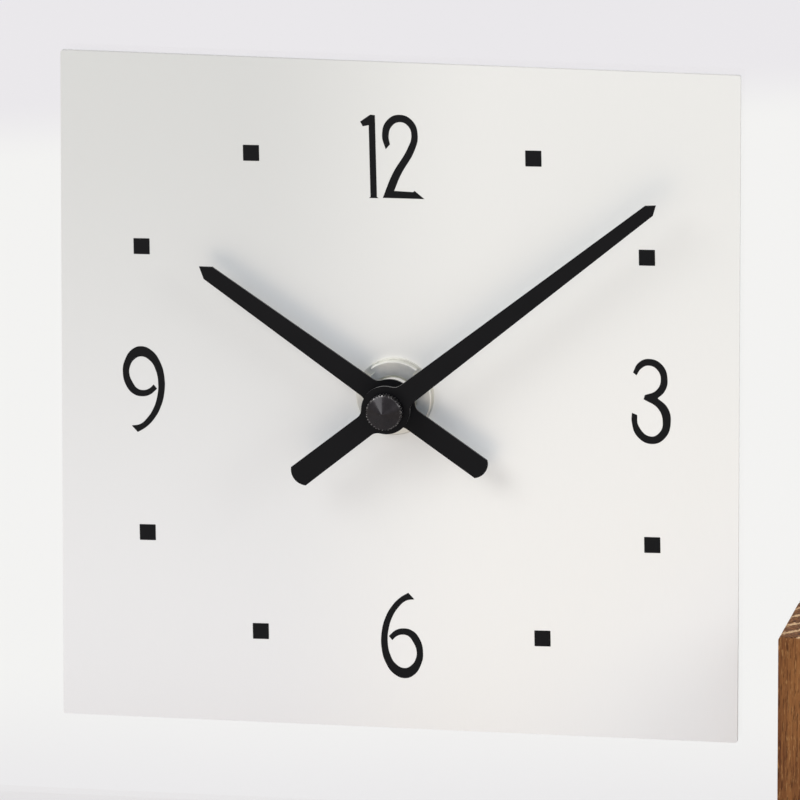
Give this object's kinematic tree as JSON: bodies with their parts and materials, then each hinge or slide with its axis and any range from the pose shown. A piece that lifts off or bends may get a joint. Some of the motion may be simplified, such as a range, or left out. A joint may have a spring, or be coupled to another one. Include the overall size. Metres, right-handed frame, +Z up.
{
  "type": "table clock",
  "caption": "Table clock: square metal dial hung on a clear glass panel that stands in a hardwood plank and block, with two black hands and a battery movement.",
  "frame": {"origin": "on the table, under the middle of the stand's width and depth", "axes": "+X to the right as seen from the dial side, +Y from the dial towards the back, +Z up"},
  "size_m": [0.246, 0.056, 0.235],
  "materials": {
    "dark_wood": "oiled, open pores, end grain on top",
    "dowel_wood": "bare beech",
    "felt": "dense felt",
    "clear_plastic": "clear, polished",
    "glass": "clear float glass, polished edges",
    "dial_metal": "satin anodised",
    "adhesive_foam": "double-sided foam",
    "nickel": "brushed nickel plating",
    "rubber": "matt",
    "case_plastic": "moulded, fine grain",
    "wheel_plastic": "moulded acetal",
    "knob_plastic": "moulded, fluted",
    "steel": "zinc plated",
    "soft_iron": "rolled sheet",
    "contact_metal": "nickel plated spring sheet",
    "brass": "turned",
    "copper": "enamelled wire",
    "magnet": "ground ferrite",
    "board": "coated laminate",
    "resin": "resin drop",
    "cell_jacket": "steel can with a plain printed sleeve",
    "hand_black": "satin black"
  },
  "bodies": {
    "stand": {"base_plank": "dark_wood", "upright_block": "dark_wood", "joint_dowels": "dowel_wood", "felt_feet": "felt", "base_channel": "clear_plastic", "side_channel": "clear_plastic", "glass_panel": "glass", "dial_plate": "dial_metal", "dial_pads": "adhesive_foam", "threaded_neck": "nickel", "dial_washer": "nickel", "dial_nut": "nickel", "rubber_washer": "rubber", "front_case": "case_plastic", "back_cover": "case_plastic", "cover_screws": "steel", "bridge_screws": "steel", "middle_plate": "case_plastic", "rear_bridge": "case_plastic", "circuit_board": "board", "quartz_crystal": "steel", "driver_chip": "resin", "coil_bobbin": "wheel_plastic", "coil_winding": "copper", "coil_core": "soft_iron", "stator": "soft_iron", "battery_cell": "cell_jacket", "positive_contact": "contact_metal", "negative_contact": "contact_metal"},
    "minute_work": {"minute_hand": "hand_black", "cap_nut": "hand_black", "minute_arbor": "brass", "clutch_ring": "steel"},
    "hour_work": {"hour_hand": "hand_black", "hour_wheel": "wheel_plastic"},
    "minute_wheel": {"minute_wheel": "wheel_plastic"},
    "setting": {"setting_arbor": "wheel_plastic", "setting_knob": "knob_plastic"},
    "centre_wheel": {"centre_wheel": "wheel_plastic"},
    "third_wheel": {"third_wheel": "wheel_plastic"},
    "seconds_wheel": {"seconds_wheel": "wheel_plastic"},
    "step_wheel": {"step_wheel": "wheel_plastic"},
    "rotor": {"rotor_pinion": "wheel_plastic", "rotor_magnet": "magnet"}
  },
  "joints": [
    {"name": "minute_hand_spin", "type": "hinge", "parent": "stand", "child": "minute_work", "pos_m": [-0.0119, 0, 0.1333], "axis": [0, 1, 0], "continuous": true},
    {"name": "hour_hand_spin", "type": "hinge", "parent": "stand", "child": "hour_work", "pos_m": [-0.0119, 0, 0.1333], "axis": [0, 1, 0], "continuous": true},
    {"name": "minute_wheel_spin", "type": "hinge", "parent": "stand", "child": "minute_wheel", "pos_m": [-0.0023, 0, 0.1333], "axis": [0, 1, 0], "continuous": true},
    {"name": "setting_knob_spin", "type": "hinge", "parent": "stand", "child": "setting", "pos_m": [0.00672, 0, 0.13002], "axis": [0, 1, 0], "continuous": true},
    {"name": "rotor_spin", "type": "hinge", "parent": "stand", "child": "rotor", "pos_m": [0.00163, 0, 0.13778], "axis": [0, 1, 0], "continuous": true},
    {"name": "step_wheel_spin", "type": "hinge", "parent": "stand", "child": "step_wheel", "pos_m": [-0.00197, 0, 0.13155], "axis": [0, 1, 0], "continuous": true},
    {"name": "seconds_wheel_spin", "type": "hinge", "parent": "stand", "child": "seconds_wheel", "pos_m": [-0.0119, 0, 0.1333], "axis": [0, 1, 0], "continuous": true},
    {"name": "third_wheel_spin", "type": "hinge", "parent": "stand", "child": "third_wheel", "pos_m": [-0.01877, 0, 0.14017], "axis": [0, 1, 0], "continuous": true},
    {"name": "centre_wheel_spin", "type": "hinge", "parent": "stand", "child": "centre_wheel", "pos_m": [-0.0119, 0, 0.1333], "axis": [0, 1, 0], "continuous": true}
  ],
  "couplings": [
    {"joint": "hour_hand_spin", "follows": "minute_hand_spin", "ratio": 0.083333},
    {"joint": "minute_wheel_spin", "follows": "minute_hand_spin", "ratio": -0.33333},
    {"joint": "setting_knob_spin", "follows": "minute_hand_spin", "ratio": 1},
    {"joint": "step_wheel_spin", "follows": "rotor_spin", "ratio": -0.2},
    {"joint": "seconds_wheel_spin", "follows": "rotor_spin", "ratio": 0.033333},
    {"joint": "third_wheel_spin", "follows": "rotor_spin", "ratio": -0.0044444},
    {"joint": "centre_wheel_spin", "follows": "rotor_spin", "ratio": 0.00055556}
  ]
}
